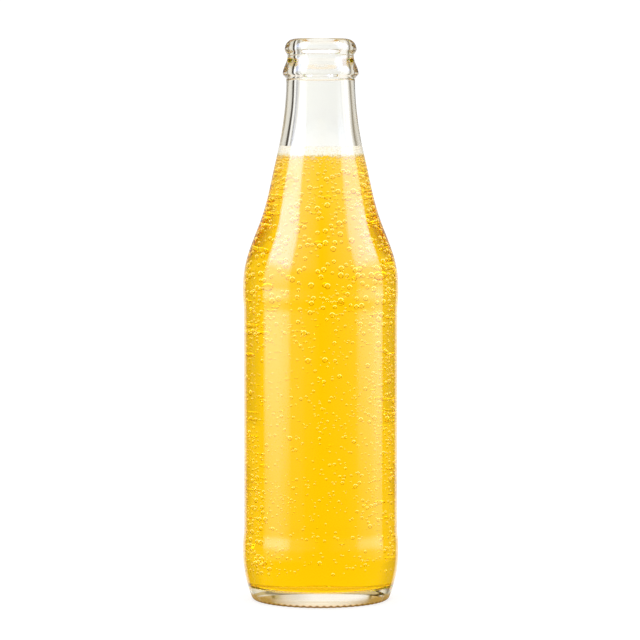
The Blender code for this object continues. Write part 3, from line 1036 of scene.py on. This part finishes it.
def studio_world(props, dye_colour):
    """The white room: what each kind of light path meets in a direction (azimuth a from +Y, height z).

    Seen directly it is white. Mirrored by a surface it is dark, but for the backdrop straight behind.
    Through clear glass it is white, with a faint grey on the left and a beige ceiling, and through the solid
    foot it is pale in the middle and amber at the sides, with a brown line between. Light led along inside
    the glass meets the dark gaps beside the backdrop. Through the drink it is white and brighter overhead,
    and light led along inside the drink meets a pale rim colour, and bluish white overhead.
    """
    world = bpy.data.worlds.new("white_studio")
    bpy.context.scene.world = world
    world.use_nodes = True
    tree = world.node_tree
    tree.nodes.clear()
    paths = node(tree, "LightPath")
    crossings = paths.outputs["Transmission Depth"]
    led, soft, inside, wet, often_crossed = (
        node(tree, "Math", {0: count, 1: limit}, operation="GREATER_THAN")
        for count, limit in (
            (paths.outputs["Glossy Depth"], 0.5), (paths.outputs["Diffuse Depth"], 0.5),
            (crossings, 0.5), (crossings, EMPTY_CROSSINGS), (crossings, DRINK_CROSSINGS),
        )
    )
    twice = node(tree, "Math", {0: crossings, 1: FOOT_CROSSINGS}, operation="LESS_THAN")
    split = node(tree, "SeparateXYZ", {0: node(tree, "TexCoord").outputs["Generated"]})
    z = split.outputs["Z"]
    angle = node(tree, "Math", {0: split.outputs["X"], 1: split.outputs["Y"]}, operation="ARCTAN2")
    off_middle = node(tree, "Math", {0: angle}, operation="ABSOLUTE")
    turn = node(tree, "MapRange", {"Value": angle, "From Min": -math.pi, "From Max": math.pi})
    rise = node(tree, "MapRange", {"Value": z, "From Min": -1.0})
    white = 1.0
    front = 0.3
    dim = 0.5
    dark = 0.015
    left_gap, right_gap, above, rim = props.left_gap, props.right_gap, props.above, props.rim
    shade = (0.4, 0.39, 0.37)
    soft_shade = (0.62, 0.61, 0.6)
    olive = (0.42, 0.36, 0.20)
    pale = (1.17, 1.20, 1.29)
    amber = (0.72, 0.53, 0.20)
    brown = (0.32, 0.24, 0.06)
    bluish = (1.2, 1.25, 2.0)
    blue = (1.8, 2.0, 4.0)
    gaps, foot_gaps, plain, sides, behind = (
        node(tree, "ValToRGB", {0: turn}, spread(stops, -180, 180))
        for stops in (
            (
                (-180, front), (-110, front), (-80, white), (-72, shade), (-60, shade), (-52, white),
                (-47, white), (-42, left_gap), (-33, left_gap), (-26, (0.75, 0.74, 0.7)),
                (-12, (0.85, 0.84, 0.8)), (2, (0.85, 0.82, 0.76)), (10, (0.7, 0.66, 0.58)),
                (18, right_gap), (24, right_gap),
                (30, (0.6, 0.58, 0.54)), (40, (0.9, 0.88, 0.84)), (50, white), (80, white),
                (110, front), (180, front),
            ),
            (
                (-180, dim), (-110, dim), (-90, amber), (-42, amber), (-36, (0.82, 0.66, 0.36)),
                (-35, brown), (-33, brown), (-32, (0.93, 0.90, 0.78)), (-29, (1.04, 1.08, 1.12)),
                (-22, pale), (4, pale), (13, (0.94, 0.93, 0.91)), (19, (0.90, 0.86, 0.78)),
                (23, (0.82, 0.75, 0.66)),
                (27, (0.64, 0.56, 0.31)), (29.3, (0.62, 0.53, 0.27)), (30.0, brown), (32.8, brown),
                (34, (0.70, 0.53, 0.25)), (80, amber), (110, dim), (180, dim),
            ),
            (
                (-180, white), (-50, white), (-43, soft_shade), (-35, soft_shade), (-26, white),
                (-14, (0.97, 0.99, 1.0)), (0, (0.95, 0.97, 1.0)), (12, (0.90, 0.92, 0.95)),
                (26, (0.86, 0.87, 0.89)), (32, white), (180, white),
            ),
            (
                (-180, white), (-66, white), (-56, 0.84), (-38, 0.83), (-33, 0.9), (-27, white),
                (27, white), (33, 0.9), (38, 0.85), (56, 0.86), (66, white), (180, white),
            ),
            ((-180, dark), (-34, dark), (-24, white), (24, white), (34, dark), (180, dark)),
        )
    )
    clear_rise, steep, drink_rise, rim_rise, led_rise = (
        node(tree, "ValToRGB", {0: rise}, spread(stops, -1, 1))
        for stops in (
            ((-1, white), (0.78, white), (0.92, above), (1, above)),
            (
                (-1, olive), (-0.62, olive), (-0.5, (0.85, 0.79, 0.6)), (-0.2, (0.93, 0.9, 0.8)),
                (-0.1, white), (1, white),
            ),
            ((-1, white), (0.25, white), (0.60, (1.6, 1.6, 1.7)), (1, (1.8, 1.8, 1.9))),
            ((-1, rim), (0.15, rim), (0.4, (0.9, 0.8, 0.5)), (0.55, bluish), (0.7, blue), (1, blue)),
            ((-1, white), (0.3, white), (0.55, bluish), (0.7, blue), (1, blue)),
        )
    )
    from_foot = node(tree, "MapRange", {"Value": z, "From Min": 0.10, "From Max": 0.13})
    foot_share = node(tree, "Math", {0: from_foot, 1: twice}, operation="MULTIPLY")
    straight_clear = node(tree, "Mix", {0: foot_share, 6: plain, 7: foot_gaps}, **COLOURS)
    upwards = node(tree, "MapRange", {"Value": z, "From Min": 0.30, "From Max": 0.40})
    gaps_level = node(tree, "Mix", {0: upwards, 6: gaps, 7: (1.1, 1.03, 0.95)}, **COLOURS)
    gaps_steep = node(tree, "Mix", {0: 1.0, 6: gaps_level, 7: steep}, **PRODUCT)
    clear_turn = node(tree, "Mix", {0: led, 6: straight_clear, 7: gaps_steep}, **COLOURS)
    clear = node(tree, "Mix", {0: 1.0, 6: clear_turn, 7: clear_rise}, **PRODUCT)
    side_share = node(tree, "MapRange", {"Value": off_middle, "From Min": SIDE_START, "From Max": SIDE_END})
    rim_turn = node(tree, "Mix", {0: side_share, 6: rim_rise, 7: props.rim_side}, **COLOURS)
    level = node(tree, "Mix", {0: 1.0, 6: drink_rise, 7: sides}, **PRODUCT)
    once = node(tree, "Mix", {0: led, 6: level, 7: rim_turn}, **COLOURS)
    often = node(tree, "Mix", {0: led, 6: 0.92, 7: led_rise}, **COLOURS)
    drink = node(tree, "Mix", {0: often_crossed, 6: once, 7: often}, **COLOURS)
    boost = led_boost(tree, crossings, dye_colour)
    boosted = node(tree, "Mix", {0: 1.0, 6: drink, 7: boost}, **PRODUCT)
    colour = node(tree, "Mix", {0: wet, 6: clear, 7: boosted}, **COLOURS)
    lit = node(tree, "Mix", {0: soft, 6: colour, 7: white}, **COLOURS)
    through = node(tree, "Background", {"Color": lit, "Strength": props.backdrop})
    seen = node(tree, "Background", {"Color": white, "Strength": 1.1})
    downwards = node(tree, "MapRange", {
        "Value": z,
        "From Min": -0.03,
        "From Max": 0.04,
        "To Min": 1.0,
        "To Max": 0.35,
    })
    mirrored = node(tree, "Background", {"Color": behind, "Strength": downwards})
    outside = node(tree, "MixShader", {0: paths.outputs["Is Glossy Ray"], 1: seen, 2: mirrored})
    node(tree, "OutputWorld", {"Surface": node(tree, "MixShader", {0: inside, 1: outside, 2: through})})


class SODA_OT_studio(bpy.types.Operator):
    """Make the white floor, the light banks and the camera"""

    bl_idname = "soda.studio"
    bl_label = "Studio"

    def execute(self, context):
        """A flat floor, two curved light banks, the world and a camera that looks a little down."""
        props = context.scene.soda_studio
        scene = context.scene
        scene.view_settings.view_transform = "Standard"
        scene.cycles.max_bounces = 64
        scene.cycles.transmission_bounces = 64
        scene.cycles.glossy_bounces = 32
        scene.cycles.transparent_max_bounces = 64
        corners = np.arange(FLOOR_SIDES)
        turn = corners * math.tau / FLOOR_SIDES
        rim = FLOOR_RADIUS * np.column_stack([np.cos(turn), np.sin(turn), np.zeros(FLOOR_SIDES)])
        mesh = mesh_from("floor", rim, [corners[None, :]])
        mesh.materials.append(white_sweep(props, scene.soda_drink.dye_colour))
        floor = bpy.data.objects.new("floor", mesh)
        scene.collection.objects.link(floor)
        floor.visible_glossy = False
        left_low = [
            (0, 0.0), (22, 0.03), (28, 0.12), (44, 0.17), (48, 0.40), (55, 0.67),
            (66, 1.0), (77, 0.86), (88, 0.50), (90, 0.42), (95, 0.0),
        ]
        left_high = [(0, 0.0), (12, 0.05), (44, 0.16), (50, 0.85), (60, 1.0), (88, 0.95), (95, 0.0)]
        right_low = [
            (0, 0.0), (38, 0.03), (54, 0.12), (60, 0.34), (67, 0.46), (78, 0.60), (88, 0.95),
            (92, 1.0), (98, 0.95), (103, 0.80), (106, 0.0),
        ]
        right_high = [
            (0, 0.0), (10, 0.01), (52, 0.12), (60, 0.70), (75, 0.85), (95, 1.0), (102, 0.8), (106, 0.0),
        ]
        low, middle, high, top = props.bank_colour, "8a92a0", props.bank_top_colour, "dcdcdc"
        tints = [
            (0.07, low), (0.13, middle), (0.36, middle), (0.50, high), (0.90, high), (1.0, top),
            (TINT_TOP, top),
        ]
        light_bank("bank_left", -1.0, (2.0, left_low), (11.0, left_high), tints)
        light_bank("bank_right", 1.0, (1.6, right_low), (8.4, right_high), tints)
        studio_world(props, scene.soda_drink.dye_colour)
        data = bpy.data.cameras.new("camera")
        data.lens = props.lens
        data.sensor_width = 36.0
        data.shift_x = -0.001
        data.clip_start = 0.01
        camera = bpy.data.objects.new("camera", data)
        camera.location = (0.0, -props.distance, props.height)
        camera.rotation_euler = (math.pi / 2 - props.tilt, 0.0, 0.0)
        scene.collection.objects.link(camera)
        scene.camera = camera
        return {"FINISHED"}


OPERATORS = (SODA_OT_glass, SODA_OT_drink, SODA_OT_froth, SODA_OT_bubbles, SODA_OT_studio)
SETTINGS = {
    "soda_glass": GlassSettings,
    "soda_drink": DrinkSettings,
    "soda_froth": FrothSettings,
    "soda_bubbles": BubbleSettings,
    "soda_studio": StudioSettings,
}


class SODA_PT_panel(bpy.types.Panel):
    """Lists the pieces of the soda bottle with their settings"""

    bl_idname = "SODA_PT_panel"
    bl_label = "Soda Bottle"
    bl_space_type = "VIEW_3D"
    bl_region_type = "UI"
    bl_category = "Soda Bottle"

    def draw(self, context):
        for name, operator in zip(SETTINGS, OPERATORS):
            group = getattr(context.scene, name)
            column = self.layout.column(align=True)
            for setting in group.bl_rna.properties:
                if setting.identifier not in ("rna_type", "name"):
                    column.prop(group, setting.identifier)
            column.operator(operator.bl_idname)


def register():
    for settings in SETTINGS.values():
        bpy.utils.register_class(settings)
    for name, settings in SETTINGS.items():
        setattr(bpy.types.Scene, name, bpy.props.PointerProperty(type=settings))
    for kind in (*OPERATORS, SODA_PT_panel):
        bpy.utils.register_class(kind)


def unregister():
    for kind in (SODA_PT_panel, *reversed(OPERATORS)):
        bpy.utils.unregister_class(kind)
    for name in SETTINGS:
        delattr(bpy.types.Scene, name)
    for settings in SETTINGS.values():
        bpy.utils.unregister_class(settings)


def main():
    register()
    bpy.ops.soda.glass()
    bpy.ops.soda.drink()
    bpy.ops.soda.froth()
    bpy.ops.soda.bubbles()
    bpy.ops.soda.studio()


if __name__ == "__main__":
    main()
